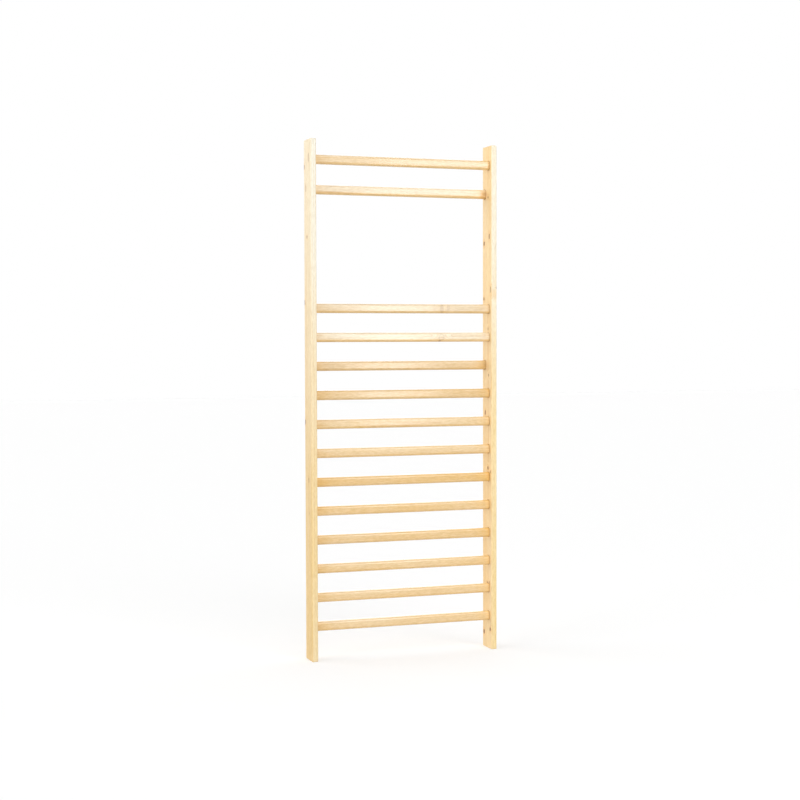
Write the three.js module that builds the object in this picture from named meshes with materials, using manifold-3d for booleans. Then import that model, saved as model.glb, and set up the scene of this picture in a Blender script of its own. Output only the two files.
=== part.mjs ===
// Swedish wall bars: two timber uprights, round-edged bars let into blind mortises, and a wood
// screw through the rear edge of the upright into each bar end.
// Millimetres, +Z up. X runs along the bars, -Y faces the person who climbs, +Y faces the wall.
// The origin is on the floor, midway between the uprights and midway through their depth.

import * as THREE from "three";
import { mergeVertices } from "three/addons/utils/BufferGeometryUtils.js";
import Module from "manifold-3d";

const wasm = await Module();
wasm.setup();

// Uprights
const CLEAR_WIDTH = 826; // between the inner faces of the two uprights
const UPRIGHT_THICKNESS = 27;
const UPRIGHT_DEPTH = 105;
const UPRIGHT_EDGE_RADIUS = 5;
const UPRIGHT_END_CHAMFER = 2;

// Heights of the bar axes, from the floor to the top ends of the uprights
const FOOT_LENGTH = 152; // floor to the lowest bar
const BAR_PITCH = 128;
const LOWER_BAR_COUNT = 12;
const OPEN_GAP = 524; // axis to axis, between the lower ladder and the bars above it
const UPPER_BAR_COUNT = 2;
const HEAD_LENGTH = 88; // top bar to the top ends

// Bars
const BAR_HEIGHT = 42;
const BAR_DEPTH = 30;
const BAR_EDGE_RADIUS = 11;
const BAR_END_CHAMFER = 1.5;
const FRONT_ROW_INSET = 22; // front edge of the uprights to the front of a bar
const REAR_ROW_INSET = 11; // back of a set-back bar to the rear edge of the uprights
const SET_BACK_BARS = [2, 5]; // counted from the top

// Mortises
const MORTISE_FLOOR = 7; // wood left behind a bar end
const MORTISE_CLEARANCE = 0.3;

// Screws
const SCREW_RADIUS = 2.5;
const SCREW_HEAD_RADIUS = 4.75;
const SCREW_HEAD_RIM = 0.6;
const SCREW_TIP_LENGTH = 6;
const SCREW_BITE = 18; // length inside a front-row bar
const SCREW_SINK = 1; // head below the rear edge
const SCREW_CLEARANCE = 0.3;
const RECESS_WIDTH = 1.4;
const RECESS_SPAN = 5;
const RECESS_DEPTH = 2.2;

// Fineness of the round shapes
const EDGE_STEPS = 2; // each step on a round edge is two facets
const BAR_STEPS = 3;
const SCREW_SIDES = 8;
const OVERCUT = 2; // how far a cutting shape stands out of the face that it opens

// Worked out from the above
const LOWER_RISE = (LOWER_BAR_COUNT - 1) * BAR_PITCH;
const UPPER_RISE = (UPPER_BAR_COUNT - 1) * BAR_PITCH;
const UPRIGHT_HEIGHT = FOOT_LENGTH + LOWER_RISE + OPEN_GAP + UPPER_RISE + HEAD_LENGTH;
const UPRIGHT_X = (CLEAR_WIDTH + UPRIGHT_THICKNESS) / 2;
const MORTISE_DEPTH = UPRIGHT_THICKNESS - MORTISE_FLOOR;
const TENON_LENGTH = MORTISE_DEPTH - MORTISE_CLEARANCE;
const BAR_LENGTH = CLEAR_WIDTH + 2 * TENON_LENGTH;
const FRONT_ROW_Y = -UPRIGHT_DEPTH / 2 + FRONT_ROW_INSET + BAR_DEPTH / 2;
const REAR_ROW_Y = UPRIGHT_DEPTH / 2 - REAR_ROW_INSET - BAR_DEPTH / 2;
const SCREW_HEAD_Y = UPRIGHT_DEPTH / 2 - SCREW_SINK;
const SCREW_LENGTH = SCREW_HEAD_Y - (FRONT_ROW_Y + BAR_DEPTH / 2) + SCREW_BITE;
const SCREW_X = CLEAR_WIDTH / 2 + TENON_LENGTH / 2;

// Each bar's number from the top, and its axis
function barPlaces() {
  const topZ = UPRIGHT_HEIGHT - HEAD_LENGTH;
  const count = UPPER_BAR_COUNT + LOWER_BAR_COUNT;
  return Array.from({ length: count }, (_, index) => {
    const number = index + 1;
    const belowGap = index >= UPPER_BAR_COUNT;
    const z = topZ - index * BAR_PITCH - (belowGap ? OPEN_GAP - BAR_PITCH : 0);
    const y = SET_BACK_BARS.includes(number) ? REAR_ROW_Y : FRONT_ROW_Y;
    return { number, y, z };
  });
}

// Rounded rectangle about the origin, with a corner radius that its sides can hold
function roundedRectangle(width, height, wantedRadius) {
  const radius = Math.min(wantedRadius, width / 2, height / 2);
  const x = width / 2 - radius;
  const y = height / 2 - radius;
  const shape = new THREE.Shape();
  shape.absarc(x, y, radius, 0, Math.PI / 2);
  shape.absarc(-x, y, radius, Math.PI / 2, Math.PI);
  shape.absarc(-x, -y, radius, Math.PI, 1.5 * Math.PI);
  shape.absarc(x, -y, radius, 1.5 * Math.PI, 2 * Math.PI);
  return shape;
}

// Extrusion along +Z from z = 0, with its two end edges chamfered
function chamferedExtrusion(shape, length, chamfer, steps) {
  const geometry = new THREE.ExtrudeGeometry(shape, {
    depth: length - 2 * chamfer,
    curveSegments: steps,
    bevelEnabled: chamfer > 0,
    bevelThickness: chamfer,
    bevelSize: chamfer,
    bevelOffset: -chamfer,
    bevelSegments: 1,
  });
  return geometry.translate(0, 0, chamfer);
}

// Turns a section drawn in depth and height, and extruded along Z, to run along X
function alongX(geometry) {
  const toDepth = new THREE.Vector3(0, 1, 0);
  const toHeight = new THREE.Vector3(0, 0, 1);
  const toLength = new THREE.Vector3(1, 0, 0);
  return geometry.applyMatrix4(new THREE.Matrix4().makeBasis(toDepth, toHeight, toLength));
}

// Closed geometry to solid, for cutting
function toSolid(geometry) {
  const bare = new THREE.BufferGeometry();
  bare.setAttribute("position", geometry.getAttribute("position"));
  bare.setIndex(geometry.getIndex());
  const merged = mergeVertices(bare, 1e-4);
  return new wasm.Manifold(
    new wasm.Mesh({
      numProp: 3,
      vertProperties: new Float32Array(merged.getAttribute("position").array),
      triVerts: new Uint32Array(merged.getIndex().array),
    }),
  );
}

// Solid back to geometry
function toGeometry(solid) {
  const mesh = solid.getMesh();
  const geometry = new THREE.BufferGeometry();
  geometry.setAttribute("position", new THREE.BufferAttribute(new Float32Array(mesh.vertProperties), 3));
  geometry.setIndex(new THREE.BufferAttribute(new Uint32Array(mesh.triVerts), 1));
  geometry.computeVertexNormals();
  return geometry;
}

// Turned solid whose axis runs along Y, from a list of [radius, y] with y rising
function turned(profile) {
  const points = profile.map(([radius, y]) => new THREE.Vector2(radius, y));
  return new THREE.LatheGeometry(points, SCREW_SIDES);
}

// Countersunk wood screw with the top of its head at y = 0 and its point towards -Y
function screwBlank() {
  const coneHeight = SCREW_HEAD_RADIUS - SCREW_RADIUS;
  return turned([
    [0, -SCREW_LENGTH],
    [SCREW_RADIUS, -SCREW_LENGTH + SCREW_TIP_LENGTH],
    [SCREW_RADIUS, -SCREW_HEAD_RIM - coneHeight],
    [SCREW_HEAD_RADIUS, -SCREW_HEAD_RIM],
    [SCREW_HEAD_RADIUS, 0],
    [0, 0],
  ]);
}

// The hole that takes such a screw, open past the rear edge of the upright
function screwHole() {
  const radius = SCREW_RADIUS + SCREW_CLEARANCE;
  const headRadius = SCREW_HEAD_RADIUS + SCREW_CLEARANCE;
  const headSeat = -SCREW_HEAD_RIM - SCREW_CLEARANCE;
  return turned([
    [0, -SCREW_LENGTH - SCREW_CLEARANCE],
    [radius, -SCREW_LENGTH - SCREW_CLEARANCE],
    [radius, headSeat - (headRadius - radius)],
    [headRadius, headSeat],
    [headRadius, SCREW_SINK + OVERCUT],
    [0, SCREW_SINK + OVERCUT],
  ]);
}

// Screw with a cross recess in its head
function screwGeometry() {
  const depth = RECESS_DEPTH + OVERCUT;
  const slotY = OVERCUT - depth / 2;
  const slotAcross = new THREE.BoxGeometry(RECESS_SPAN, depth, RECESS_WIDTH).translate(0, slotY, 0);
  const slotUpright = new THREE.BoxGeometry(RECESS_WIDTH, depth, RECESS_SPAN).translate(0, slotY, 0);
  const recess = toSolid(slotAcross).add(toSolid(slotUpright));
  return toGeometry(toSolid(screwBlank()).subtract(recess));
}

// Upright about its own foot, with its mortises opening towards side * X
function uprightGeometry(side) {
  const section = roundedRectangle(UPRIGHT_THICKNESS, UPRIGHT_DEPTH, UPRIGHT_EDGE_RADIUS);
  let solid = toSolid(chamferedExtrusion(section, UPRIGHT_HEIGHT, UPRIGHT_END_CHAMFER, EDGE_STEPS));
  const innerFace = (side * UPRIGHT_THICKNESS) / 2;
  const cutLength = MORTISE_DEPTH + OVERCUT;
  const cutMiddle = innerFace + (side * (OVERCUT - MORTISE_DEPTH)) / 2;
  const mortiseSection = roundedRectangle(
    BAR_DEPTH + 2 * MORTISE_CLEARANCE,
    BAR_HEIGHT + 2 * MORTISE_CLEARANCE,
    BAR_EDGE_RADIUS + MORTISE_CLEARANCE,
  );
  const screwX = innerFace - side * (SCREW_X - CLEAR_WIDTH / 2);
  for (const bar of barPlaces()) {
    const mortise = alongX(chamferedExtrusion(mortiseSection, cutLength, 0, BAR_STEPS));
    mortise.translate(cutMiddle - cutLength / 2, bar.y, bar.z);
    const hole = screwHole().translate(screwX, SCREW_HEAD_Y, bar.z);
    solid = solid.subtract(toSolid(mortise)).subtract(toSolid(hole));
  }
  return toGeometry(solid);
}

// Bar about the middle of its axis, bored at both ends for its screws
function barGeometry(bar) {
  const section = roundedRectangle(BAR_DEPTH, BAR_HEIGHT, BAR_EDGE_RADIUS);
  const blank = alongX(chamferedExtrusion(section, BAR_LENGTH, BAR_END_CHAMFER, BAR_STEPS));
  let solid = toSolid(blank.translate(-BAR_LENGTH / 2, 0, 0));
  for (const side of [-1, 1]) {
    const hole = screwHole().translate(side * SCREW_X, SCREW_HEAD_Y - bar.y, 0);
    solid = solid.subtract(toSolid(hole));
  }
  return toGeometry(solid);
}

// Clear-lacquered pine uprights, warmer bars and zinc-plated screws
const uprightWood = new THREE.MeshStandardMaterial({ color: 0xf3d9a8, roughness: 0.5, metalness: 0 });
const barWood = new THREE.MeshStandardMaterial({ color: 0xedc890, roughness: 0.45, metalness: 0 });
const screwSteel = new THREE.MeshStandardMaterial({ color: 0xb8b8b2, roughness: 0.35, metalness: 1 });

function named(name, geometry, material, x, y, z) {
  const mesh = new THREE.Mesh(geometry, material);
  mesh.name = name;
  mesh.position.set(x, y, z);
  return mesh;
}

const wallBars = new THREE.Group();
wallBars.add(named("upright_left", uprightGeometry(1), uprightWood, -UPRIGHT_X, 0, 0));
wallBars.add(named("upright_right", uprightGeometry(-1), uprightWood, UPRIGHT_X, 0, 0));
for (const bar of barPlaces()) {
  const number = String(bar.number).padStart(2, "0");
  wallBars.add(named(`bar_${number}`, barGeometry(bar), barWood, 0, bar.y, bar.z));
  wallBars.add(named(`screw_left_${number}`, screwGeometry(), screwSteel, -SCREW_X, SCREW_HEAD_Y, bar.z));
  wallBars.add(named(`screw_right_${number}`, screwGeometry(), screwSteel, SCREW_X, SCREW_HEAD_Y, bar.z));
}

export default wallBars;
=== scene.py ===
import math
import random
import bmesh
import bpy
from mathutils import Matrix, Vector


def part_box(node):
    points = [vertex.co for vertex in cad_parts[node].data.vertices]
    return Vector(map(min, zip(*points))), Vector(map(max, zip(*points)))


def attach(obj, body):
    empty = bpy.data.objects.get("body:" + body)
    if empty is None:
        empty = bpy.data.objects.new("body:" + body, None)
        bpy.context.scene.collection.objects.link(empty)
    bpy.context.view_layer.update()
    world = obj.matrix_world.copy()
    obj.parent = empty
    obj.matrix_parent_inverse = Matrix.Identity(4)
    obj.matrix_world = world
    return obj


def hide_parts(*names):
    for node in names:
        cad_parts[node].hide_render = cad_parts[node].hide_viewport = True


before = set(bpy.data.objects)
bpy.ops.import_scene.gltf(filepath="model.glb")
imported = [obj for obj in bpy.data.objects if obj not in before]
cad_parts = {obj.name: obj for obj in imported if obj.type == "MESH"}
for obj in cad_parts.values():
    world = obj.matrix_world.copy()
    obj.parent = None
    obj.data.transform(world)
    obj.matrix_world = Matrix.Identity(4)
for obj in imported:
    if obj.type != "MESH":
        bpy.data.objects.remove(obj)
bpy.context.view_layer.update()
scene = bpy.context.scene
scene.view_settings.view_transform = "Standard"
print("frame: %d solids" % len(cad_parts))


# Small helpers for node trees

floatSocket = "NodeSocketFloat"
integerSocket = "NodeSocketInt"
vectorSocket = "NodeSocketVector"
colourSocket = "NodeSocketColor"
geometrySocket = "NodeSocketGeometry"
objectSocket = "NodeSocketObject"
materialSocket = "NodeSocketMaterial"
noiseMiddle = 0.5  # a noise texture sways about this value


def floats(*names):
    return dict.fromkeys(names, floatSocket)


def feed(tree, socket, value):
    if isinstance(value, bpy.types.NodeSocket):
        tree.links.new(value, socket)
    else:
        socket.default_value = value


def addNode(tree, kind, settings=None, inputs=None):
    node = tree.nodes.new(kind)
    for name, value in (settings or {}).items():
        setattr(node, name, value)
    for name, value in (inputs or {}).items():
        feed(tree, node.inputs[name], value)
    return node


def calc(tree, operation, *values):
    node = addNode(tree, "ShaderNodeMath", {"operation": operation})
    for socket, value in zip(node.inputs, values):
        feed(tree, socket, value)
    return node.outputs["Value"]


def calcVector(tree, operation, *values, result="Vector"):
    node = addNode(tree, "ShaderNodeVectorMath", {"operation": operation})
    for socket, value in zip(node.inputs, values):
        feed(tree, socket, value)
    return node.outputs[result]


def ramp(tree, value, low, high, toLow=0.0, toHigh=1.0):
    ends = {"Value": value, "From Min": low, "From Max": high, "To Min": toLow, "To Max": toHigh}
    node = addNode(tree, "ShaderNodeMapRange", {"interpolation_type": "SMOOTHSTEP"}, ends)
    return node.outputs["Result"]


def noise(tree, point, perMetre, detail=1.0, roughness=0.5):
    stretched = calcVector(tree, "MULTIPLY", point, perMetre)
    inputs = {"Vector": stretched, "Scale": 1.0, "Detail": detail, "Roughness": roughness}
    return addNode(tree, "ShaderNodeTexNoise", None, inputs)


def mixColour(tree, share, under, over, blend="MIX", clamp=True):
    settings = {"data_type": "RGBA", "blend_type": blend, "clamp_factor": clamp}
    node = addNode(tree, "ShaderNodeMix", settings)
    feed(tree, node.inputs[0], share)  # sockets of one name: 6, 7 and 2 are the colours
    feed(tree, node.inputs[6], under)
    feed(tree, node.inputs[7], over)
    return node.outputs[2]


def splitPoint(tree, point):
    return addNode(tree, "ShaderNodeSeparateXYZ", None, {"Vector": point}).outputs


def joinPoint(tree, x, y, z):
    return addNode(tree, "ShaderNodeCombineXYZ", None, {"X": x, "Y": y, "Z": z}).outputs["Vector"]


def attribute(tree, name, output):
    settings = {"attribute_name": name, "attribute_type": "GEOMETRY"}
    return addNode(tree, "ShaderNodeAttribute", settings).outputs[output]


def newGroup(name, kind, inputs, outputs):  # inputs and outputs give each socket's name and kind
    tree = bpy.data.node_groups.new(name, kind)
    for way, sockets in (("INPUT", inputs), ("OUTPUT", outputs)):
        for socketName, socketKind in sockets.items():
            tree.interface.new_socket(socketName, in_out=way, socket_type=socketKind)
    source = tree.nodes.new("NodeGroupInput")
    target = tree.nodes.new("NodeGroupOutput")
    return tree, source.outputs, target.inputs


def useGroup(tree, group, inputs):
    return addNode(tree, "ShaderNodeGroup", {"node_tree": group}, inputs).outputs


def newMaterial(name):
    material = bpy.data.materials.new(name)
    material.use_nodes = True
    material.node_tree.nodes.clear()
    return material, material.node_tree


def closeMaterial(tree, shader):
    target = tree.nodes.new("ShaderNodeOutputMaterial")
    tree.links.new(shader, target.inputs["Surface"])


def paint(red, green, blue):  # screen colour, 0 to 255, to the linear colour of a socket
    def linear(level):
        share = level / 255
        return share / 12.92 if share <= 0.04045 else ((share + 0.055) / 1.055) ** 2.4
    return linear(red), linear(green), linear(blue), 1.0


# Camera at the photograph's angle

cameraSet = {
    "place": (-2.3522, -6.6903, 1.4325),  # metres
    "turn": 19.293,  # degrees to the right of straight ahead
    "tilt": -2.286,
    "roll": -0.141,
    "lens": 70.88,  # mm
    "sensor": 36.0,  # mm
}


def makeCamera(look):
    data = bpy.data.cameras.new("photoCamera")
    data.lens = look["lens"]
    data.sensor_width = look["sensor"]
    data.sensor_fit = "HORIZONTAL"
    camera = bpy.data.objects.new("photoCamera", data)
    turn = Matrix.Rotation(-math.radians(look["turn"]), 4, "Z")
    tilt = Matrix.Rotation(math.radians(90 + look["tilt"]), 4, "X")
    roll = Matrix.Rotation(math.radians(look["roll"]), 4, "Z")
    camera.matrix_world = Matrix.Translation(look["place"]) @ turn @ tilt @ roll
    scene.collection.objects.link(camera)
    bpy.context.scene.camera = camera


makeCamera(cameraSet)
print("camera set")


# Studio: white surround, pale floor, four wide far lamps and two softboxes for the sheen

studioSet = {
    "surround": 1.0,  # what the camera sees
    "fill": 0.14,  # light from all round
    "floorGlow": 0.487,  # makes up the lit floor to white
    "floorTone": 0.55,  # takes the shadow
    "floorBounce": 0.72,  # what the floor sends back to the object
    "floorSize": 60.0,
    # degrees above the floor and to the right of the front, width in degrees, watts per square metre
    "farLamps": {
        "frontLamp": {"height": 33.0, "turn": 4.0, "spread": 42.0, "strength": 0.97},
        "sideLamp": {"height": 15.0, "turn": -98.0, "spread": 90.0, "strength": 2.90},
        "fillLamp": {"height": 8.0, "turn": -4.0, "spread": 80.0, "strength": 0.74},
        "rearLamp": {"height": 32.0, "turn": 145.0, "spread": 90.0, "strength": 1.45},
    },
    # place, aim, width and height in metres, power in watts
    "softboxes": {
        "frontStrip": {"place": (1.41, -4.25, 1.5), "aim": (0.0, 0.0, 1.4),
                       "size": (0.55, 1.5), "power": 15.0},
        "upperPanel": {"place": (1.95, -4.10, 2.75), "aim": (0.0, 0.0, 2.2),
                       "size": (1.4, 0.6), "power": 12.5},
    },
}


def seenDirectly(tree):  # 1 for rays that show the surround itself, 0 for rays that light the object
    path = tree.nodes.new("ShaderNodeLightPath").outputs
    either = calc(tree, "MAXIMUM", path["Is Camera Ray"], path["Is Glossy Ray"])
    return calc(tree, "MAXIMUM", either, path["Is Transmission Ray"])


def makeWorld(look):
    world = bpy.data.worlds.new("studioSurround")
    world.use_nodes = True
    tree = world.node_tree
    tree.nodes.clear()
    strength = ramp(tree, seenDirectly(tree), 0.0, 1.0, look["fill"], look["surround"])
    white = {"Color": (1.0, 1.0, 1.0, 1.0), "Strength": strength}
    background = addNode(tree, "ShaderNodeBackground", None, white)
    target = tree.nodes.new("ShaderNodeOutputWorld")
    tree.links.new(background.outputs["Background"], target.inputs["Surface"])
    scene.world = world


def makeFloorMaterial(look):
    material, tree = newMaterial("paleFloor")
    grey = (look["floorTone"],) * 3 + (1.0,)
    bounce = (look["floorBounce"],) * 3 + (1.0,)
    glow = addNode(tree, "ShaderNodeEmission", None, {"Strength": look["floorGlow"]})
    shown = addNode(tree, "ShaderNodeBsdfDiffuse", None, {"Color": grey})
    lit = addNode(tree, "ShaderNodeBsdfDiffuse", None, {"Color": bounce})
    both = tree.nodes.new("ShaderNodeAddShader")
    tree.links.new(glow.outputs[0], both.inputs[0])
    tree.links.new(shown.outputs[0], both.inputs[1])
    choose = tree.nodes.new("ShaderNodeMixShader")
    tree.links.new(seenDirectly(tree), choose.inputs[0])
    tree.links.new(lit.outputs[0], choose.inputs[1])
    tree.links.new(both.outputs[0], choose.inputs[2])
    closeMaterial(tree, choose.outputs[0])
    return material


def makeSoftbox(name, box):
    lamp = bpy.data.lights.new(name, "AREA")
    lamp.shape = "RECTANGLE"
    lamp.size, lamp.size_y = box["size"]
    lamp.energy = box["power"]
    softbox = bpy.data.objects.new(name, lamp)
    softbox.location = box["place"]
    aim = Vector(box["aim"]) - Vector(box["place"])
    softbox.rotation_euler = aim.to_track_quat("-Z", "Y").to_euler()
    scene.collection.objects.link(softbox)


def makeFarLamp(name, look):  # wide and far away, so that the top and the foot are lit alike
    lamp = bpy.data.lights.new(name, "SUN")
    lamp.angle = math.radians(look["spread"])
    lamp.energy = look["strength"]
    farLamp = bpy.data.objects.new(name, lamp)
    turn = Matrix.Rotation(math.radians(look["turn"]), 4, "Z")
    lean = Matrix.Rotation(math.radians(90.0 - look["height"]), 4, "X")
    farLamp.matrix_world = turn @ lean
    scene.collection.objects.link(farLamp)


def makeStudio(look):
    makeWorld(look)
    half = look["floorSize"] / 2
    mesh = bpy.data.meshes.new("studioFloor")
    corners = [(-half, -half, 0.0), (half, -half, 0.0), (half, half, 0.0), (-half, half, 0.0)]
    mesh.from_pydata(corners, [], [(0, 1, 2, 3)])
    mesh.materials.append(makeFloorMaterial(look))
    floor = bpy.data.objects.new("studioFloor", mesh)
    scene.collection.objects.link(floor)
    for name, lamp in look["farLamps"].items():
        makeFarLamp(name, lamp)
    for name, box in look["softboxes"].items():
        makeSoftbox(name, box)


makeStudio(studioSet)
print("studio lit")


# Shader groups for the pine: growth rings, knots, colour, lacquer
# A noise is given per metre along the grain and across it

ringSet = {
    "bend": {"perMetre": (1.1, 7.0, 7.0)},  # slow bends of the trunk
    "taper": 0.004,  # the trunk thins along the grain
    "unevenness": 1.6,  # wide and narrow years
    "changePerYear": 0.37,
    "darkening": (0.40, 0.93),  # shares of the year over which the wood darkens
    "winter": (0.955, 1.0),  # and then ends sharply
    "faintestYear": 0.4,
    "fibre": {"perMetre": (40.0, 270.0, 270.0), "detail": 3.0, "roughness": 0.65},
    "drift": {"perMetre": (1.6, 18.0, 18.0), "detail": 5.0, "roughness": 0.7},
    "driftShift": (3.7, 0.9, 1.3),  # metres away from the bends, so that they don't match
}


def makeRingsGroup(look):
    inputs = {"Point": vectorSocket, **floats("Ring Width", "Wander", "Knot Push")}
    outputs = floats("Latewood", "Fibre", "Drift")
    tree, source, target = newGroup("pineRings", "ShaderNodeTree", inputs, outputs)
    point = source["Point"]
    sway = noise(tree, point, **look["bend"]).outputs["Color"]
    sway = calcVector(tree, "SUBTRACT", sway, (noiseMiddle,) * 3)
    reach = calc(tree, "MULTIPLY", source["Wander"], 2.0)  # the noise itself sways by a half
    sway = calcVector(tree, "MULTIPLY", sway, joinPoint(tree, 0.0, reach, reach))
    moved = calcVector(tree, "ADD", point, sway)
    across = calcVector(tree, "MULTIPLY", moved, (0.0, 1.0, 1.0))
    radius = calcVector(tree, "LENGTH", across, result="Value")
    radius = calc(tree, "ADD", radius, source["Knot Push"])
    radius = calc(tree, "MULTIPLY_ADD", splitPoint(tree, point)["X"], look["taper"], radius)
    years = calc(tree, "DIVIDE", radius, source["Ring Width"])
    uneven = addNode(tree, "ShaderNodeTexNoise", {"noise_dimensions": "1D"}, {
        "W": years, "Scale": look["changePerYear"], "Detail": 1.0})
    years = calc(tree, "MULTIPLY_ADD", uneven.outputs["Fac"], look["unevenness"], years)
    season = calc(tree, "FRACT", years)
    darkening = ramp(tree, season, *look["darkening"])
    winter = ramp(tree, season, *look["winter"], 1.0, 0.0)
    year = addNode(tree, "ShaderNodeTexWhiteNoise", {"noise_dimensions": "1D"}, {
        "W": calc(tree, "FLOOR", years)})
    faintest = look["faintestYear"]
    strength = calc(tree, "MULTIPLY_ADD", year.outputs["Value"], 1.0 - faintest, faintest)
    late = calc(tree, "MULTIPLY", calc(tree, "MULTIPLY", darkening, winter), strength)
    fibre = noise(tree, point, **look["fibre"]).outputs["Fac"]
    shifted = calcVector(tree, "ADD", point, look["driftShift"])
    drift = noise(tree, shifted, **look["drift"]).outputs["Fac"]
    for name, value in (("Latewood", late), ("Fibre", fibre), ("Drift", drift)):
        tree.links.new(value, target[name])
    return tree


knotSet = {
    "ragged": {"perMetre": (160.0, 160.0, 160.0), "detail": 2.0},
    "raggedness": 0.5,
    # where each part of a knot starts and ends, in the knot's radius
    "core": (0.95, 1.25),
    "rimInside": (0.75, 1.15),
    "rimOutside": (1.2, 1.45),
    "halo": (1.0, 3.6),
    "push": (0.3, 4.5),  # the rings give way round a knot
    "pushHeight": 1.6,
    # a knot has these unless its own entry differs
    "usual": {"depth": 0.026, "stretch": 1.4, "strength": 1.0, "core": 1.0, "rim": 1.0, "push": 1.0},
}


def makeKnotGroup(look):  # one branch stub; stubs are chained through the So Far inputs
    inputs = {"Point": vectorSocket, **floats(
        "Along", "Across", "Face", "Depth", "Radius", "Stretch", "Strength", "Core Share", "Rim Share",
        "Push Share", "Core So Far", "Rim So Far", "Halo So Far", "Push So Far")}
    outputs = floats("Core", "Rim", "Halo", "Push")
    tree, source, target = newGroup("pineKnot", "ShaderNodeTree", inputs, outputs)
    place = splitPoint(tree, source["Point"])
    along = calc(tree, "SUBTRACT", place["X"], source["Along"])
    along = calc(tree, "DIVIDE", along, source["Stretch"])
    across = calc(tree, "SUBTRACT", place["Y"], source["Across"])
    deep = calc(tree, "DIVIDE", calc(tree, "SUBTRACT", place["Z"], source["Face"]), source["Depth"])
    deep = calc(tree, "MULTIPLY", deep, source["Radius"])
    distance = calcVector(tree, "LENGTH", joinPoint(tree, along, across, deep), result="Value")
    distance = calc(tree, "DIVIDE", distance, source["Radius"])
    ragged = noise(tree, source["Point"], **look["ragged"]).outputs["Fac"]
    distance = calc(tree, "MULTIPLY_ADD", ragged, look["raggedness"], distance)
    core = calc(tree, "MULTIPLY", ramp(tree, distance, *look["core"], 1.0, 0.0), source["Core Share"])
    inside = ramp(tree, distance, *look["rimInside"])
    outside = ramp(tree, distance, *look["rimOutside"], 1.0, 0.0)
    rim = calc(tree, "MULTIPLY", calc(tree, "MULTIPLY", inside, outside), source["Rim Share"])
    halo = ramp(tree, distance, *look["halo"], 1.0, 0.0)
    push = ramp(tree, distance, *look["push"], look["pushHeight"], 0.0)
    push = calc(tree, "MULTIPLY", push, source["Radius"])
    push = calc(tree, "MULTIPLY", push, source["Push Share"])
    for name, value in (("Core", core), ("Rim", rim), ("Halo", halo)):
        strong = calc(tree, "MULTIPLY", value, source["Strength"])
        tree.links.new(calc(tree, "MAXIMUM", strong, source[name + " So Far"]), target[name])
    tree.links.new(calc(tree, "ADD", push, source["Push So Far"]), target["Push"])
    return tree


colourSet = {
    "sapwood": paint(254, 250, 234),
    "driftTone": 0.55,  # how far drift and fibre sway the tone
    "fibreTone": 0.45,
    "darkestTone": 1.25,
    "lateTint": (0.86, 0.74, 0.58, 1.0),
    "lateShare": 0.75,
    "streakFibre": (0.3, 0.7),
    "streakLight": (0.92, 1.04),
    "haloTint": (0.93, 0.76, 0.55, 1.0),
    "haloShare": 0.8,
    "knotBrown": paint(138, 76, 30),
    "coreShare": 0.9,
    "rimBrown": paint(84, 44, 16),
    "rimShare": 0.85,
    "endTint": (0.84, 0.70, 0.53, 1.0),
    # painted shade where a bar goes into a plank
    "jointShadeBrown": paint(150, 88, 36),
}


def makeColourGroup(look):
    inputs = {"Heartwood": colourSocket, **floats(
        "Latewood", "Fibre", "Drift", "Tone", "Lightness", "Core", "Rim", "Halo", "End Grain", "Seam")}
    tree, source, target = newGroup("pineColour", "ShaderNodeTree", inputs, {"Color": colourSocket})
    drift = calc(tree, "SUBTRACT", source["Drift"], noiseMiddle)
    tone = calc(tree, "MULTIPLY_ADD", drift, look["driftTone"], source["Tone"])
    dull = calc(tree, "SUBTRACT", noiseMiddle, source["Fibre"])
    tone = calc(tree, "MULTIPLY_ADD", dull, look["fibreTone"], tone)
    tone = calc(tree, "MINIMUM", calc(tree, "MAXIMUM", tone, 0.0), look["darkestTone"])
    colour = mixColour(tree, tone, look["sapwood"], source["Heartwood"], clamp=False)
    late = calc(tree, "MULTIPLY", source["Latewood"], look["lateShare"])
    colour = mixColour(tree, late, colour, look["lateTint"], "MULTIPLY")
    streak = ramp(tree, source["Fibre"], *look["streakFibre"], *look["streakLight"])
    colour = mixColour(tree, 1.0, colour, streak, "MULTIPLY")
    colour = mixColour(tree, 1.0, colour, source["Lightness"], "MULTIPLY")
    halo = calc(tree, "MULTIPLY", source["Halo"], look["haloShare"])
    colour = mixColour(tree, halo, colour, look["haloTint"], "MULTIPLY")
    core = calc(tree, "MULTIPLY", source["Core"], look["coreShare"])
    colour = mixColour(tree, core, colour, look["knotBrown"])
    rim = calc(tree, "MULTIPLY", source["Rim"], look["rimShare"])
    colour = mixColour(tree, rim, colour, look["rimBrown"])
    colour = mixColour(tree, source["End Grain"], colour, look["endTint"], "MULTIPLY")
    # painted shade in the joint round each bar end
    colour = mixColour(tree, source["Seam"], colour, look["jointShadeBrown"])
    tree.links.new(colour, target["Color"])
    return tree


lacquerSet = {
    "cloud": {"perMetre": (6.0, 40.0, 40.0), "detail": 2.0},
    "roughness": 0.34,
    "cloudRoughness": 0.16,
    "fibreRoughness": 0.08,
    "knotRoughness": -0.08,  # knots are glossier
    "pores": {"perMetre": (60.0, 1500.0, 1500.0), "detail": 2.0},
    "poreHeight": 0.4,  # shares of the bump
    "lateHeight": 0.5,
    "fibreHeight": 0.4,
    "knotHeight": 0.5,
    "bumpStrength": 0.25,
    "bumpHeight": 0.0004,  # metres
}


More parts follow.
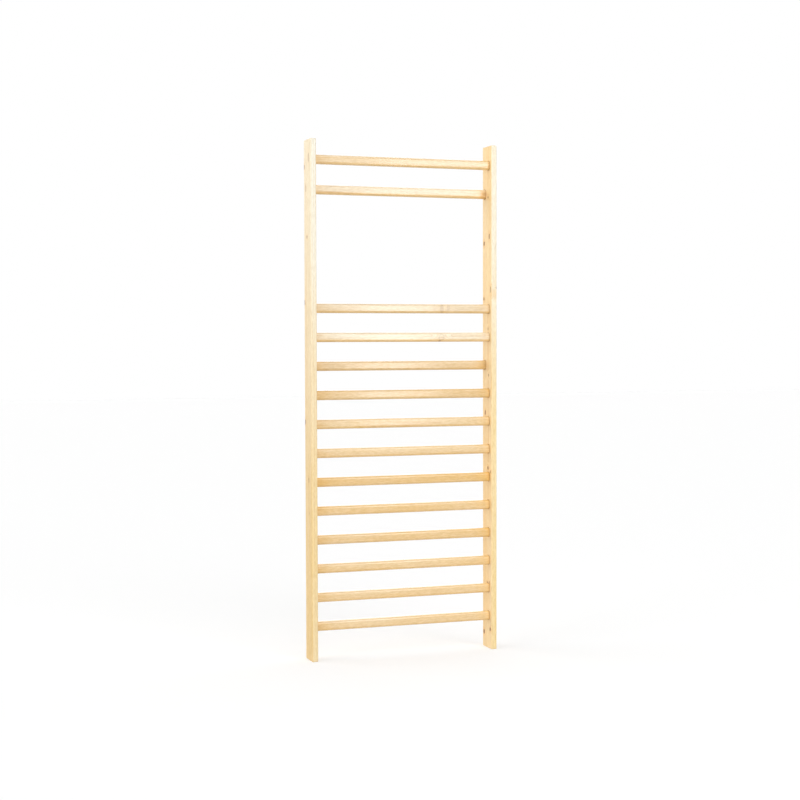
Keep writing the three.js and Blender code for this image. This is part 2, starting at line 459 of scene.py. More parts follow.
def makeLacquerGroup(look):
    inputs = {"Point": vectorSocket, **floats("Latewood", "Fibre", "Knot")}
    outputs = floats("Roughness", "Height")
    tree, source, target = newGroup("satinLacquer", "ShaderNodeTree", inputs, outputs)
    cloud = noise(tree, source["Point"], **look["cloud"]).outputs["Fac"]
    rough = calc(tree, "MULTIPLY_ADD", cloud, look["cloudRoughness"], look["roughness"])
    rough = calc(tree, "MULTIPLY_ADD", source["Fibre"], look["fibreRoughness"], rough)
    rough = calc(tree, "MULTIPLY_ADD", source["Knot"], look["knotRoughness"], rough)
    pores = noise(tree, source["Point"], **look["pores"]).outputs["Fac"]
    height = calc(tree, "MULTIPLY", pores, look["poreHeight"])
    height = calc(tree, "MULTIPLY_ADD", source["Latewood"], look["lateHeight"], height)
    height = calc(tree, "MULTIPLY_ADD", source["Fibre"], look["fibreHeight"], height)
    height = calc(tree, "MULTIPLY_ADD", source["Knot"], look["knotHeight"], height)
    tree.links.new(rough, target["Roughness"])
    tree.links.new(height, target["Height"])
    return tree


ringsGroup = makeRingsGroup(ringSet)
knotGroup = makeKnotGroup(knotSet)
colourGroup = makeColourGroup(colourSet)
lacquerGroup = makeLacquerGroup(lacquerSet)
print("pine groups built")


def chainKnots(tree, point, face, knots):
    soFar = None
    for entry in knots:
        knot = {"face": face, **knotSet["usual"], **entry}
        inputs = {"Point": point, "Along": knot["along"], "Across": knot["across"], "Face": knot["face"],
                  "Depth": knot["depth"], "Radius": knot["radius"], "Stretch": knot["stretch"],
                  "Strength": knot["strength"], "Core Share": knot["core"], "Rim Share": knot["rim"],
                  "Push Share": knot["push"]}
        if soFar:
            inputs.update({name + " So Far": soFar[name] for name in ("Core", "Rim", "Halo", "Push")})
        soFar = useGroup(tree, knotGroup, inputs)
    return soFar


def pineShader(tree, point, marks, grain, surface, finish):
    rings = useGroup(tree, ringsGroup, {
        "Point": point, "Ring Width": grain["ringWidth"], "Wander": grain["wander"],
        "Knot Push": marks["Push"]})
    inputs = {name: rings[name] for name in ("Latewood", "Fibre", "Drift")}
    inputs.update({name: marks[name] for name in ("Core", "Rim", "Halo")})
    inputs.update(surface)
    colour = useGroup(tree, colourGroup, inputs)
    skin = useGroup(tree, lacquerGroup, {
        "Point": point, "Latewood": rings["Latewood"], "Fibre": rings["Fibre"], "Knot": marks["Core"]})
    bump = addNode(tree, "ShaderNodeBump", None, {
        "Strength": lacquerSet["bumpStrength"], "Distance": lacquerSet["bumpHeight"],
        "Height": skin["Height"]})
    shader = addNode(tree, "ShaderNodeBsdfPrincipled", None, {
        "Base Color": colour["Color"], "Roughness": skin["Roughness"], "Normal": bump.outputs["Normal"],
        "Coat Weight": finish["coat"], "Coat Roughness": finish["coatRoughness"],
        "Specular IOR Level": finish["specular"]})
    closeMaterial(tree, shader.outputs["BSDF"])


# Uprights: planks on edge with a mortise for each bar end and a hole for each screw

barNames = sorted(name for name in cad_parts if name.startswith("bar_"))

plankSet = {
    "edgeRadius": 0.005,
    "edgeSteps": 8,
    "endRound": 0.002,
    "endSteps": 4,
    "mortiseGap": 0.0003,
    "mouthChamfer": 0.0011,
    "barRadius": 0.011,
    "mortiseSteps": 10,  # per corner
    "overcut": 0.002,
    "holeRadius": 0.0028,
    "sinkRadius": 0.00505,
    "sinkRim": 0.0016,
    "holeSteps": 24,
    "sharpAngle": 30,  # degrees
    "endReach": 0.003,  # faces this near an end and facing it are end grain
    "endFacing": 0.5,
    "mouthReach": 0.004,  # faces this deep in the inner side and turned from it are a mortise's mouth
    "mouthFacing": 0.95,
    "mouthSpan": 0.045,  # from the middle of the depth, inside the rounded edges
    "mouthToEnd": 0.01,
    # painted shade in the mouth of each mortise
    "jointShadeStrength": 0.6,
    "frontBand": 0.003,  # how deep the front edge's own colour and its painted light go
    "finish": {"coat": 0.15, "coatRoughness": 0.35, "specular": 0.3},  # thin satin lacquer
}

leftGrain = {
    "pith": (0.030, 0.018),  # from the plank's middle, across its thickness and its depth
    "ringWidth": 0.0036,
    "wander": 0.007,
    "heartwood": paint(228, 194, 127),
    "edgeHeartwood": paint(246, 215, 150),  # the front edge is yellower
    "toneTopAndLight": 0.44,  # 0 sapwood, 1 heartwood; darker towards the foot, partly the wood's tone and partly painted shade
    "toneFootAndShade": 0.95,
    "toneShadeHeights": (0.4, 2.2),
    "edgeLightTop": 0.41,  # how much paler the front edge is painted, as painted light brightest near the top
    "edgeLightMiddle": 0.06,
    "edgeLightFoot": 0.22,
    "edgeLightHeights": (0.9, 2.2),
    "edgeLightFootHeights": (0.1, 0.7),
    "knots": [  # height, place across the depth, radius, and what differs from a usual knot
        {"along": 2.218, "across": -0.023, "radius": 0.0075, "stretch": 2.6, "strength": 0.30},
        {"along": 2.182, "across": 0.050, "radius": 0.0085, "depth": 0.010},
        {"along": 2.087, "across": 0.021, "radius": 0.0060, "stretch": 2.6, "strength": 0.35},
        {"along": 1.8735, "across": 0.005, "radius": 0.0045},
        {"along": 1.586, "across": 0.048, "radius": 0.0075, "depth": 0.009},
        {"along": 1.057, "across": 0.046, "radius": 0.0075, "depth": 0.010},
        {"along": 0.802, "across": -0.006, "radius": 0.0040, "stretch": 2.8, "strength": 0.6},
        {"along": 0.655, "across": -0.012, "radius": 0.0035, "strength": 0.35},
    ],
}

rightGrain = {
    "pith": (0.026, -0.014),
    "ringWidth": 0.0034,
    "wander": 0.006,
    "heartwood": paint(247, 207, 133),
    "edgeHeartwood": paint(249, 214, 128),
    "toneTopAndLight": 0.76,
    "toneFootAndShade": 0.76,
    "toneShadeHeights": (0.0, 2.3),
    "edgeLightTop": 0.63,
    "edgeLightMiddle": 0.09,
    "edgeLightFoot": -0.02,
    "edgeLightHeights": (1.0, 2.0),
    "edgeLightFootHeights": (0.3, 0.9),
    "knots": [
        {"along": 2.069, "across": -0.013, "radius": 0.0035},
        {"along": 1.890, "across": -0.028, "radius": 0.0058, "stretch": 2.0, "strength": 0.7},
        {"along": 1.8605, "across": 0.033, "radius": 0.0062, "stretch": 1.5},
        {"along": 1.648, "across": -0.043, "radius": 0.0060, "stretch": 2.2, "strength": 0.5,
         "depth": 0.004},
        {"along": 1.629, "across": -0.0525, "radius": 0.0055, "stretch": 1.9, "strength": 0.8,
         "face": 0.424, "depth": 0.010, "core": 0.0, "rim": 0.0},
        {"along": 1.656, "across": -0.0515, "radius": 0.0040, "strength": 0.6,
         "face": 0.440, "depth": 0.004},
        {"along": 1.607, "across": 0.036, "radius": 0.0050},
        {"along": 1.470, "across": -0.013, "radius": 0.0045, "strength": 0.5},
        {"along": 1.2575, "across": -0.020, "radius": 0.0045, "strength": 0.6},
        {"along": 1.085, "across": 0.020, "radius": 0.0055, "stretch": 1.8, "strength": 0.9},
        {"along": 0.831, "across": -0.012, "radius": 0.0055},
        {"along": 0.8155, "across": -0.040, "radius": 0.0045, "strength": 0.7},
        {"along": 0.301, "across": -0.003, "radius": 0.0042, "strength": 0.6},
        {"along": 0.3045, "across": -0.027, "radius": 0.0042, "strength": 0.6},
        {"along": 0.0895, "across": -0.038, "radius": 0.0055},
        {"along": 0.0675, "across": 0.035, "radius": 0.0070},
    ],
}


def roundedLoop(halfX, halfY, radius, steps):
    loop = []
    for corner, (signX, signY) in enumerate(((1, 1), (-1, 1), (-1, -1), (1, -1))):
        centre = Vector((signX * (halfX - radius), signY * (halfY - radius)))
        for step in range(steps + 1):
            angle = (corner + step / steps) * math.pi / 2
            loop.append(centre + radius * Vector((math.cos(angle), math.sin(angle))))
    return loop


def circle(radius, steps):
    turns = [step / steps * math.tau for step in range(steps)]
    return [(radius * math.cos(turn), radius * math.sin(turn)) for turn in turns]


def skinLoops(mesh, loops):  # closed body through loops with equal point counts
    rows = [[mesh.verts.new(point) for point in loop] for loop in loops]
    count = len(rows[0])
    for low, high in zip(rows, rows[1:]):
        for here in range(count):
            ahead = (here + 1) % count
            mesh.faces.new((low[here], low[ahead], high[ahead], high[here]))
    mesh.faces.new(list(reversed(rows[0])))
    mesh.faces.new(rows[-1])


def newPiece(name, build):
    shape = bmesh.new()
    build(shape)
    bmesh.ops.recalc_face_normals(shape, faces=shape.faces)
    mesh = bpy.data.meshes.new(name)
    shape.to_mesh(mesh)
    shape.free()
    piece = bpy.data.objects.new(name, mesh)
    scene.collection.objects.link(piece)
    return piece


def applyModifiers(piece):
    bpy.context.view_layer.update()
    graph = bpy.context.evaluated_depsgraph_get()
    mesh = bpy.data.meshes.new_from_object(piece.evaluated_get(graph), depsgraph=graph)
    piece.modifiers.clear()
    piece.data = mesh
    mesh.name = piece.name


def smoothFaces(mesh, sharpAngle):
    for face in mesh.polygons:
        face.use_smooth = True
    mesh.set_sharp_from_angle(angle=math.radians(sharpAngle))


def evenShading(piece, sharpAngle):  # flat faces shade flat, rounded edges stay smooth
    smoothFaces(piece.data, sharpAngle)
    weighted = piece.modifiers.new("evenShading", "WEIGHTED_NORMAL")
    weighted.keep_sharp = True
    applyModifiers(piece)


def cutAway(piece, cutter):
    cut = piece.modifiers.new("cut", "BOOLEAN")
    cut.operation = "DIFFERENCE"
    cut.solver = "EXACT"
    cut.object = cutter
    applyModifiers(piece)
    bpy.data.objects.remove(cutter)


def plankBody(low, high, look):
    middle = (low + high) / 2
    half = (high - low) / 2
    bends = []
    for step in range(look["endSteps"] + 1):
        angle = step / look["endSteps"] * math.pi / 2
        inset = look["endRound"] * (1 - math.sin(angle))
        bends.append((inset, look["endRound"] * (1 - math.cos(angle))))
    levels = [(inset, low.z + rise) for inset, rise in bends]
    levels += [(inset, high.z - rise) for inset, rise in reversed(bends)]
    loops = []
    for inset, level in levels:
        radius = look["edgeRadius"] - inset
        flat = roundedLoop(half.x - inset, half.y - inset, radius, look["edgeSteps"])
        loops.append([(middle.x + point.x, middle.y + point.y, level) for point in flat])
    return lambda shape: skinLoops(shape, loops)


def mortiseCutter(faceX, outward, look):
    gap, chamfer = look["mortiseGap"], look["mouthChamfer"]

    def build(shape):
        for name in barNames:
            low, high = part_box(name)
            middle = (low + high) / 2
            half = (high - low) / 2
            floorDepth = half.x - abs(faceX) + gap
            stations = [(-look["overcut"], gap + chamfer), (0.0, gap + chamfer),
                        (chamfer, gap), (floorDepth, gap)]
            loops = []
            for depth, outset in stations:
                radius = look["barRadius"] + outset
                flat = roundedLoop(half.y + outset, half.z + outset, radius, look["mortiseSteps"])
                x = faceX + outward * depth
                loops.append([(x, middle.y + point.x, middle.z + point.y) for point in flat])
            skinLoops(shape, loops)
    return build


def screwHoleCutter(side, rearY, look):
    sink, hole = look["sinkRadius"], look["holeRadius"]
    sinkFloor = rearY - look["sinkRim"]

    def build(shape):
        for name in barNames:
            screw = name.replace("bar", "screw_" + side)
            low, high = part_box(screw)
            barLow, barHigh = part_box(name)
            x, z = (low.x + high.x) / 2, (low.z + high.z) / 2
            stations = [(rearY + look["overcut"], sink), (sinkFloor, sink),
                        (sinkFloor - sink + hole, hole), ((barLow.y + barHigh.y) / 2, hole)]
            loops = []
            for y, radius in stations:
                ring = circle(radius, look["holeSteps"])
                loops.append([(x + across, y, z + rise) for across, rise in ring])
            skinLoops(shape, loops)
    return build


def markFaces(piece, low, high, innerX, look):  # end grain, and the mortise mouths that get painted shade where the bars go in
    mesh = piece.data
    ends = mesh.attributes.new("endGrain", "FLOAT", "FACE")
    jointShades = mesh.attributes.new("seam", "FLOAT", "FACE")
    for face in mesh.polygons:
        nearEnd = min(face.center.z - low.z, high.z - face.center.z)
        if abs(face.normal.z) > look["endFacing"] and nearEnd < look["endReach"]:
            ends.data[face.index].value = 1.0
        inMouth = 0.0 < abs(face.center.x - innerX) < look["mouthReach"]
        inside = abs(face.center.y) < look["mouthSpan"] and nearEnd > look["mouthToEnd"]
        if abs(face.normal.x) < look["mouthFacing"] and inMouth and inside:
            jointShades.data[face.index].value = 1.0


def makePlankMaterial(name, low, high, look, grain):
    material, tree = newMaterial(name)
    place = splitPoint(tree, tree.nodes.new("ShaderNodeTexCoord").outputs["Object"])
    middle = (low + high) / 2
    outward = 1.0 if middle.x > 0 else -1.0
    thick = calc(tree, "SUBTRACT", place["X"], middle.x + outward * grain["pith"][0])
    deep = calc(tree, "SUBTRACT", place["Y"], middle.y + grain["pith"][1])
    grainPoint = joinPoint(tree, place["Z"], deep, thick)
    knotPoint = joinPoint(tree, place["Z"], place["Y"], place["X"])
    marks = chainKnots(tree, knotPoint, low.x, grain["knots"])  # on the side that faces left
    # tone by height: partly the wood, partly painted shade towards the foot
    tone = ramp(tree, place["Z"], *grain["toneShadeHeights"], grain["toneFootAndShade"], grain["toneTopAndLight"])
    # painted light: the front edge paler by height, most near the top
    paintedEdgeLight = ramp(tree, place["Z"], *grain["edgeLightHeights"], grain["edgeLightMiddle"], grain["edgeLightTop"])
    edgeLightFootChange = grain["edgeLightFoot"] - grain["edgeLightMiddle"]
    edgeLightAtFoot = ramp(tree, place["Z"], *grain["edgeLightFootHeights"], edgeLightFootChange, 0.0)
    paintedEdgeLight = calc(tree, "ADD", paintedEdgeLight, edgeLightAtFoot)
    frontEdge = ramp(tree, place["Y"], low.y, low.y + look["frontBand"], 1.0, 0.0)
    surface = {
        "Tone": calc(tree, "SUBTRACT", tone, calc(tree, "MULTIPLY", frontEdge, paintedEdgeLight)),
        "Lightness": 1.0,
        "Heartwood": mixColour(tree, frontEdge, grain["heartwood"], grain["edgeHeartwood"]),
        "End Grain": attribute(tree, "endGrain", "Fac"),
        # painted shade at the mortise mouths
        "Seam": calc(tree, "MULTIPLY", attribute(tree, "seam", "Fac"), look["jointShadeStrength"]),
    }
    pineShader(tree, grainPoint, marks, grain, surface, look["finish"])
    return material


def makePlank(node, name, materialName, look, grain):
    low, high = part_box(node)
    outward = 1.0 if low.x > 0 else -1.0
    innerX = low.x if outward > 0 else high.x
    piece = newPiece(name, plankBody(low, high, look))
    cutAway(piece, newPiece("mortises", mortiseCutter(innerX, outward, look)))
    side = node.split("_")[1]
    cutAway(piece, newPiece("screwHoles", screwHoleCutter(side, high.y, look)))
    markFaces(piece, low, high, innerX, look)
    evenShading(piece, look["sharpAngle"])
    piece.data.materials.clear()
    piece.data.materials.append(makePlankMaterial(materialName, low, high, look, grain))
    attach(piece, "root")
    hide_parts(node)


makePlank("upright_left", "plankLeft", "pinePlankLeft", plankSet, leftGrain)
makePlank("upright_right", "plankRight", "pinePlankRight", plankSet, rightGrain)
print("planks made")


# Bars: one Geometry Nodes tree, its sizes set for each bar

barSet = {
    "edgeRadius": plankSet["barRadius"],
    "edgeSteps": 12,
    "endChamfer": 0.0015,
    "weldGap": 0.00001,
    "sharpAngle": 20,  # degrees
    "finish": {"coat": 1.0, "coatRoughness": 0.12, "specular": 0.5},  # full lacquer, smooth to grip
    "ringWidth": 0.0030,
    "wander": 0.004,
    # painted shade on each bar end, where it goes into the plank
    "jointShadeWidth": 0.0020,
    "jointShadeStrength": 0.35,
    "heartwood": paint(236, 196, 127),
    "woodsAndLight": {  # tone from 0 sapwood to 1 heartwood, and lightness: partly each bar's own wood, partly painted light, paler on the upper bars where the sheen on them is brighter
        "bar_01": (0.72, 0.97), "bar_02": (0.48, 0.98), "bar_03": (0.60, 0.92), "bar_04": (0.45, 0.98),
        "bar_05": (0.82, 0.90), "bar_06": (0.91, 0.92), "bar_07": (0.77, 0.97), "bar_08": (0.80, 0.99),
        "bar_09": (0.98, 0.98), "bar_10": (0.92, 1.00), "bar_11": (0.90, 0.99), "bar_12": (0.84, 1.01),
        "bar_13": (0.80, 1.02), "bar_14": (0.81, 1.03),
    },
    "cornerShadeReach": 0.090,  # painted shade in the corner at each plank
    "cornerShadeTone": 0.13,
    "undersideShadeTone": 0.94,  # and painted shade along the underside
    "undersideShadeReach": 0.0165,  # up from the underside
    "undersideShadeFade": 0.38,
    "knots": [  # place along X, height, radius, and what differs from a usual knot
        {"along": 0.181, "across": 1.560, "radius": 0.0200, "stretch": 0.38, "strength": 0.16,
         "push": 0.4},
        {"along": 0.212, "across": 1.566, "radius": 0.0120, "stretch": 0.60, "strength": 0.10,
         "push": 0.4},
        {"along": 0.179, "across": 1.432, "radius": 0.0150, "stretch": 0.90, "strength": 0.16,
         "push": 0.35, "core": 0.2},
        {"along": 0.171, "across": 1.415, "radius": 0.0040, "strength": 0.45},
        # painted shade at bar 2's right end, where the plank shades the set-back bar: a halo with no
        # core, rim or push
        {"along": 0.405, "across": 2.082, "radius": 0.0085, "strength": 0.95, "face": 0.0115,
         "core": 0.0, "rim": 0.0, "push": 0.0},
    ],
    "grainSeed": 11,
    "grainSlide": 9.0,  # how far apart along the trunk the bars may be cut
    "pithReach": (0.020, 0.060),  # how far the trunk's middle lies from a bar's axis
    "pithSway": 0.01,
}


def store(tree, geometry, name, value, kind="FLOAT"):  # named attribute on the points
    node = addNode(tree, "GeometryNodeStoreNamedAttribute", {"data_type": kind, "domain": "POINT"}, {
        "Geometry": geometry, "Name": name, "Value": value})
    return node.outputs["Geometry"]


def dress(tree, geometry, material, target):  # a tree ends in plain geometry with its material
    real = addNode(tree, "GeometryNodeRealizeInstances", None, {"Geometry": geometry})
    dressed = addNode(tree, "GeometryNodeSetMaterial", None, {
        "Geometry": real.outputs[0], "Material": material})
    tree.links.new(dressed.outputs[0], target["Geometry"])


def makeBarTree(look):
    inputs = {"Geometry": geometrySocket, **floats("Length", "Height", "Depth", "Edge Radius"),
              "Edge Steps": integerSocket, "End Chamfer": floatSocket, "Place": vectorSocket,
              "Grain Turn": floatSocket, "Grain Slide": vectorSocket,
              **floats("Tone", "Lightness", "Lower Edge Reach"), "Material": materialSocket}
    outputs = {"Geometry": geometrySocket}
    tree, source, target = newGroup("gripBar", "GeometryNodeTree", inputs, outputs)
    position = tree.nodes.new("GeometryNodeInputPosition").outputs[0]
    place = splitPoint(tree, position)
    box = addNode(tree, "GeometryNodeCurvePrimitiveQuadrilateral", None, {
        "Width": source["Depth"], "Height": source["Height"]})
    section = addNode(tree, "GeometryNodeFilletCurve", {"mode": "POLY"}, {
        "Curve": box.outputs[0], "Count": source["Edge Steps"], "Radius": source["Edge Radius"],
        "Limit Radius": True})
    # path along the bar with a point at each end and one at each chamfer
    half = calc(tree, "MULTIPLY", source["Length"], 0.5)
    line = addNode(tree, "GeometryNodeCurvePrimitiveLine", None, {
        "Start": joinPoint(tree, calc(tree, "MULTIPLY", half, -1.0), 0.0, 0.0),
        "End": joinPoint(tree, half, 0.0, 0.0)})
    path = addNode(tree, "GeometryNodeResampleCurve", None, {"Curve": line.outputs[0], "Count": 4})
    inner = addNode(tree, "FunctionNodeCompare", {"operation": "LESS_THAN"})
    feed(tree, inner.inputs[0], calc(tree, "ABSOLUTE", place["X"]))
    feed(tree, inner.inputs[1], calc(tree, "MULTIPLY", half, 0.5))
    shoulder = calc(tree, "SUBTRACT", half, source["End Chamfer"])
    shoulder = calc(tree, "MULTIPLY", calc(tree, "SIGN", place["X"]), shoulder)
    path = addNode(tree, "GeometryNodeSetPosition", None, {
        "Geometry": path.outputs[0], "Selection": inner.outputs[0],
        "Position": joinPoint(tree, shoulder, 0.0, 0.0)})
    # the section shrinks at both ends
    trim = calc(tree, "DIVIDE", calc(tree, "MULTIPLY", source["End Chamfer"], 2.0), source["Height"])
    atEnds = addNode(tree, "GeometryNodeCurveEndpointSelection", None, {"Start Size": 1, "End Size": 1})
    scale = calc(tree, "MULTIPLY_ADD", atEnds.outputs[0], calc(tree, "MULTIPLY", trim, -1.0), 1.0)
    sweep = addNode(tree, "GeometryNodeCurveToMesh", None, {
        "Curve": path.outputs[0], "Profile Curve": section.outputs[0], "Scale": scale,
        "Fill Caps": True})
    welded = addNode(tree, "GeometryNodeMergeByDistance", None, {
        "Geometry": sweep.outputs[0], "Distance": look["weldGap"]})
    # grain runs along X, turned and slid for each bar
    turned = addNode(tree, "ShaderNodeVectorRotate", {"rotation_type": "X_AXIS"}, {
        "Vector": position, "Angle": source["Grain Turn"]})
    grainPoint = calcVector(tree, "ADD", turned.outputs[0], source["Grain Slide"])
    # how far up from the underside the painted shade goes
    underside = calc(tree, "MULTIPLY", source["Height"], -0.5)
    reachTop = calc(tree, "ADD", underside, source["Lower Edge Reach"])
    lowerEdge = ramp(tree, place["Z"], reachTop, underside)
    geometry = store(tree, welded.outputs[0], "grainPoint", grainPoint, "FLOAT_VECTOR")
    geometry = store(tree, geometry, "tone", source["Tone"])
    geometry = store(tree, geometry, "lightness", source["Lightness"])
    geometry = store(tree, geometry, "lowerEdge", lowerEdge)
    placed = addNode(tree, "GeometryNodeTransform", None, {
        "Geometry": geometry, "Translation": source["Place"]})
    smooth = addNode(tree, "GeometryNodeSetShadeSmooth", None, {"Geometry": placed.outputs[0]})
    dress(tree, smooth.outputs[0], source["Material"], target)
    return tree


def setInputs(modifier, tree, values):  # a modifier's inputs are set by socket identifier
    for item in tree.interface.items_tree:
        if item.item_type == "SOCKET" and item.in_out == "INPUT" and item.name in values:
            modifier[item.identifier] = values[item.name]


def makeBarMaterial(look, faceX, frontY):
    material, tree = newMaterial("pineBar")
    place = splitPoint(tree, tree.nodes.new("ShaderNodeTexCoord").outputs["Object"])
    knotPoint = joinPoint(tree, place["X"], place["Z"], place["Y"])
    marks = chainKnots(tree, knotPoint, frontY, look["knots"])
    grainPoint = attribute(tree, "grainPoint", "Vector")
    reach = calc(tree, "ABSOLUTE", place["X"])
    # painted shade: the bars darker towards each plank
    corner = ramp(tree, reach, faceX - look["cornerShadeReach"], faceX, 0.0, look["cornerShadeTone"])
    tone = calc(tree, "ADD", attribute(tree, "tone", "Fac"), corner)
    # painted shade along each bar's underside
    lowerEdge = attribute(tree, "lowerEdge", "Fac")
    paintedUnderside = ramp(tree, lowerEdge, 0.0, look["undersideShadeFade"], 0.0, look["undersideShadeTone"])
    surface = {
        "Tone": calc(tree, "MAXIMUM", tone, paintedUnderside),
        "Lightness": attribute(tree, "lightness", "Fac"),
        "Heartwood": look["heartwood"],
        # painted shade at each bar end
        "Seam": ramp(tree, reach, faceX - look["jointShadeWidth"], faceX, 0.0, look["jointShadeStrength"]),
    }
    pineShader(tree, grainPoint, marks, look, surface, look["finish"])
    return material


def makeBars(look):
    tree = makeBarTree(look)
    material = makeBarMaterial(look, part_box("upright_right")[0].x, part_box(barNames[0])[0].y)
    draw = random.Random(look["grainSeed"])
    near, far = look["pithReach"]
    for node in barNames:
        low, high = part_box(node)
        size = high - low
        name = "gripBar" + node[-2:]
        piece = bpy.data.objects.new(name, bpy.data.meshes.new(name))
        scene.collection.objects.link(piece)
        modifier = piece.modifiers.new("gripBar", "NODES")
        modifier.node_group = tree
        slide = (draw.uniform(-look["grainSlide"], look["grainSlide"]), draw.uniform(near, far),
                 draw.uniform(-look["pithSway"], look["pithSway"]))
        tone, lightness = look["woodsAndLight"][node]
        setInputs(modifier, tree, {
            "Length": size.x, "Height": size.z, "Depth": size.y, "Edge Radius": look["edgeRadius"],
            "Edge Steps": look["edgeSteps"], "End Chamfer": look["endChamfer"],
            "Place": (low + high) / 2, "Grain Turn": draw.uniform(0.0, math.tau), "Grain Slide": slide,
            "Tone": tone, "Lightness": lightness, "Lower Edge Reach": look["undersideShadeReach"],
            "Material": material})
        applyModifiers(piece)
        evenShading(piece, look["sharpAngle"])
        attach(piece, "root")
        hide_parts(node)


makeBars(barSet)
print("%d bars made" % len(barNames))


# Screws: countersunk wood screws in the rear edge, instanced on their head points

screwSet = {
    "length": 0.070,
    "headRadius": 0.00475,
    "headRim": 0.0006,
    "shankRadius": 0.0025,
    "rootRadius": 0.0018,
    "pointShare": 0.08,  # of the root radius
    "threadShare": 0.62,  # of the length
    "threadPitch": 0.0022,
    "ridgeSlope": 3.2,  # how steeply the thread's ridge rises
    "stepsPerTurn": 6,
    "sides": 14,
    "tip": 0.006,
    "recessSpan": 0.0050,
    "recessWidth": 0.0014,
    "recessDepth": 0.0022,
    "recessTaper": 0.55,
    "recessOvercut": 0.2,  # of its depth, above the head
    "sharpAngle": 35,  # degrees
    "turnSeed": 5,
}


def screwBody(look):
    threadTop = -look["length"] * (1 - look["threadShare"])
    threadFoot = -look["length"] + look["tip"]
    stepHeight = look["threadPitch"] / look["stepsPerTurn"]
    stepCount = round((threadTop - threadFoot) / stepHeight)
    coneFoot = -look["headRim"] - look["headRadius"] + look["shankRadius"]
    root = look["rootRadius"]
    shank = [(0.0, look["headRadius"]), (-look["headRim"], look["headRadius"]),
             (coneFoot, look["shankRadius"]), (threadTop, look["shankRadius"])]
    point = [(threadFoot, root), (-look["length"], root * look["pointShare"])]

    def threadRadius(z, turn):
        phase = (z / look["threadPitch"] + turn / math.tau) % 1.0
        ridge = max(0.0, 1 - abs(phase - 0.5) * look["ridgeSlope"])
        return root + (look["shankRadius"] - root) * ridge

    def plainLoop(z, radius):
        return [(x, y, z) for x, y in circle(radius, look["sides"])]

    def threadLoop(z):
        turns = [step / look["sides"] * math.tau for step in range(look["sides"])]
        radii = [threadRadius(z, turn) for turn in turns]
        pairs = zip(radii, turns)
        return [(radius * math.cos(turn), radius * math.sin(turn), z) for radius, turn in pairs]

    def build(shape):
        loops = [plainLoop(z, radius) for z, radius in shank]
        loops += [threadLoop(threadTop - step * stepHeight) for step in range(1, stepCount)]
        loops += [plainLoop(z, radius) for z, radius in point]
        skinLoops(shape, list(reversed(loops)))
    return build


def recessBody(look):
    half, arm = look["recessSpan"] / 2, look["recessWidth"] / 2
    outline = [(half, arm), (arm, arm), (arm, half), (-arm, half), (-arm, arm), (-half, arm),
               (-half, -arm), (-arm, -arm), (-arm, -half), (arm, -half), (arm, -arm), (half, -arm)]
    top = look["recessDepth"] * look["recessOvercut"]

    def build(shape):
        loops = []
        for z, share in ((-look["recessDepth"], look["recessTaper"]), (top, 1.0)):
            loops.append([(x * share, y * share, z) for x, y in outline])
        skinLoops(shape, loops)
    return build


def makeScrewTree():
    inputs = {"Geometry": geometrySocket, "Screw": objectSocket, "Turn Seed": integerSocket,
              "Material": materialSocket}
    outputs = {"Geometry": geometrySocket}
    tree, source, target = newGroup("screwRow", "GeometryNodeTree", inputs, outputs)
    screw = addNode(tree, "GeometryNodeObjectInfo", None, {"Object": source["Screw"]})
    spin = addNode(tree, "FunctionNodeRandomValue", {"data_type": "FLOAT"}, {"Seed": source["Turn Seed"]})
    spin.inputs[2].default_value = 0.0  # least and most of the float sockets
    spin.inputs[3].default_value = math.tau
    lean = joinPoint(tree, -math.pi / 2, spin.outputs[1], 0.0)  # head towards the wall
    rotation = addNode(tree, "FunctionNodeEulerToRotation", None, {"Euler": lean})
    row = addNode(tree, "GeometryNodeInstanceOnPoints", None, {
        "Points": source["Geometry"], "Instance": screw.outputs["Geometry"],
        "Rotation": rotation.outputs[0]})
    dress(tree, row.outputs[0], source["Material"], target)
    return tree


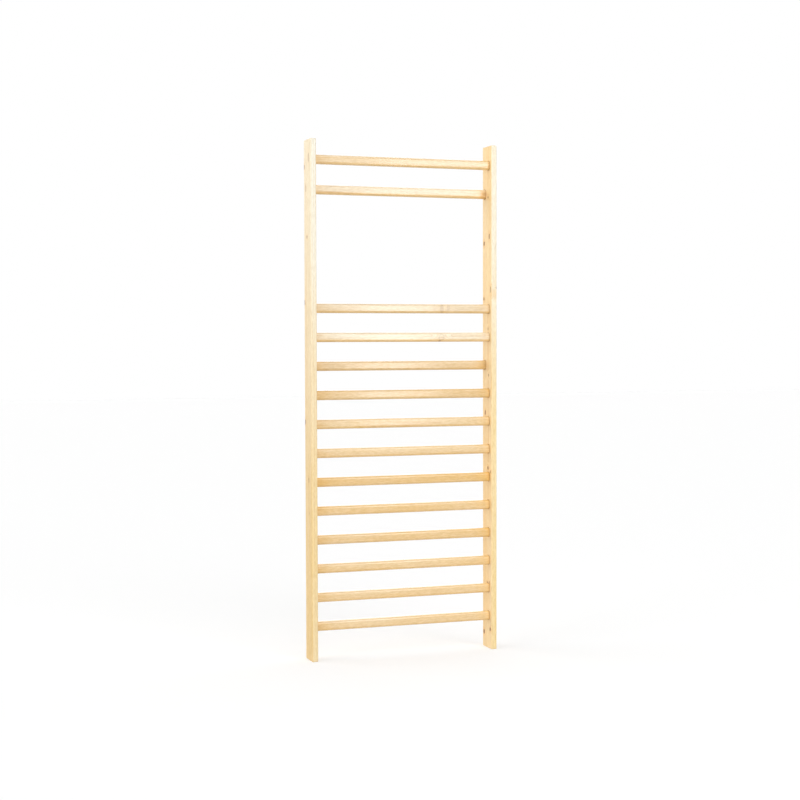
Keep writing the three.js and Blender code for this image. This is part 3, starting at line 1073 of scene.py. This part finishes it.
zincSet = {
    "coolGrey": paint(190, 192, 196),
    "warmGrey": paint(214, 212, 200),
    "cloud": {"perMetre": (420.0, 420.0, 420.0), "detail": 3.0, "roughness": 0.6},
    "cloudRange": (0.3, 0.7),
    "roughness": (0.28, 0.46),
    "scratch": {"perMetre": (2600.0, 900.0, 2600.0), "detail": 2.0},
    "bumpStrength": 0.2,
    "bumpHeight": 0.0001,  # metres
}


def makeZincMaterial(look):
    material, tree = newMaterial("zincScrew")
    place = tree.nodes.new("ShaderNodeTexCoord").outputs["Object"]
    cloud = noise(tree, place, **look["cloud"]).outputs["Fac"]
    colour = mixColour(tree, ramp(tree, cloud, *look["cloudRange"]), look["coolGrey"], look["warmGrey"])
    rough = ramp(tree, cloud, *look["cloudRange"], *look["roughness"])
    scratch = noise(tree, place, **look["scratch"]).outputs["Fac"]
    bump = addNode(tree, "ShaderNodeBump", None, {
        "Strength": look["bumpStrength"], "Distance": look["bumpHeight"], "Height": scratch})
    shader = addNode(tree, "ShaderNodeBsdfPrincipled", None, {
        "Base Color": colour, "Metallic": 1.0, "Roughness": rough, "Normal": bump.outputs["Normal"]})
    closeMaterial(tree, shader.outputs["BSDF"])
    return material


def makeScrews(look):
    model = newPiece("screwModel", screwBody(look))
    cutAway(model, newPiece("recess", recessBody(look)))
    smoothFaces(model.data, look["sharpAngle"])
    tree = makeScrewTree()
    material = makeZincMaterial(zincSet)
    for side in ("left", "right"):
        nodes = [name.replace("bar", "screw_" + side) for name in barNames]
        heads = []
        for node in nodes:
            low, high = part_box(node)
            heads.append(((low.x + high.x) / 2, high.y, (low.z + high.z) / 2))
        name = "screwRow" + side.capitalize()
        mesh = bpy.data.meshes.new(name)
        mesh.from_pydata(heads, [], [])
        piece = bpy.data.objects.new(name, mesh)
        scene.collection.objects.link(piece)
        modifier = piece.modifiers.new("screwRow", "NODES")
        modifier.node_group = tree
        setInputs(modifier, tree, {"Screw": model, "Turn Seed": look["turnSeed"], "Material": material})
        applyModifiers(piece)
        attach(piece, "root")
        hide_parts(*nodes)
    bpy.data.objects.remove(model)


makeScrews(screwSet)
print("screws set")
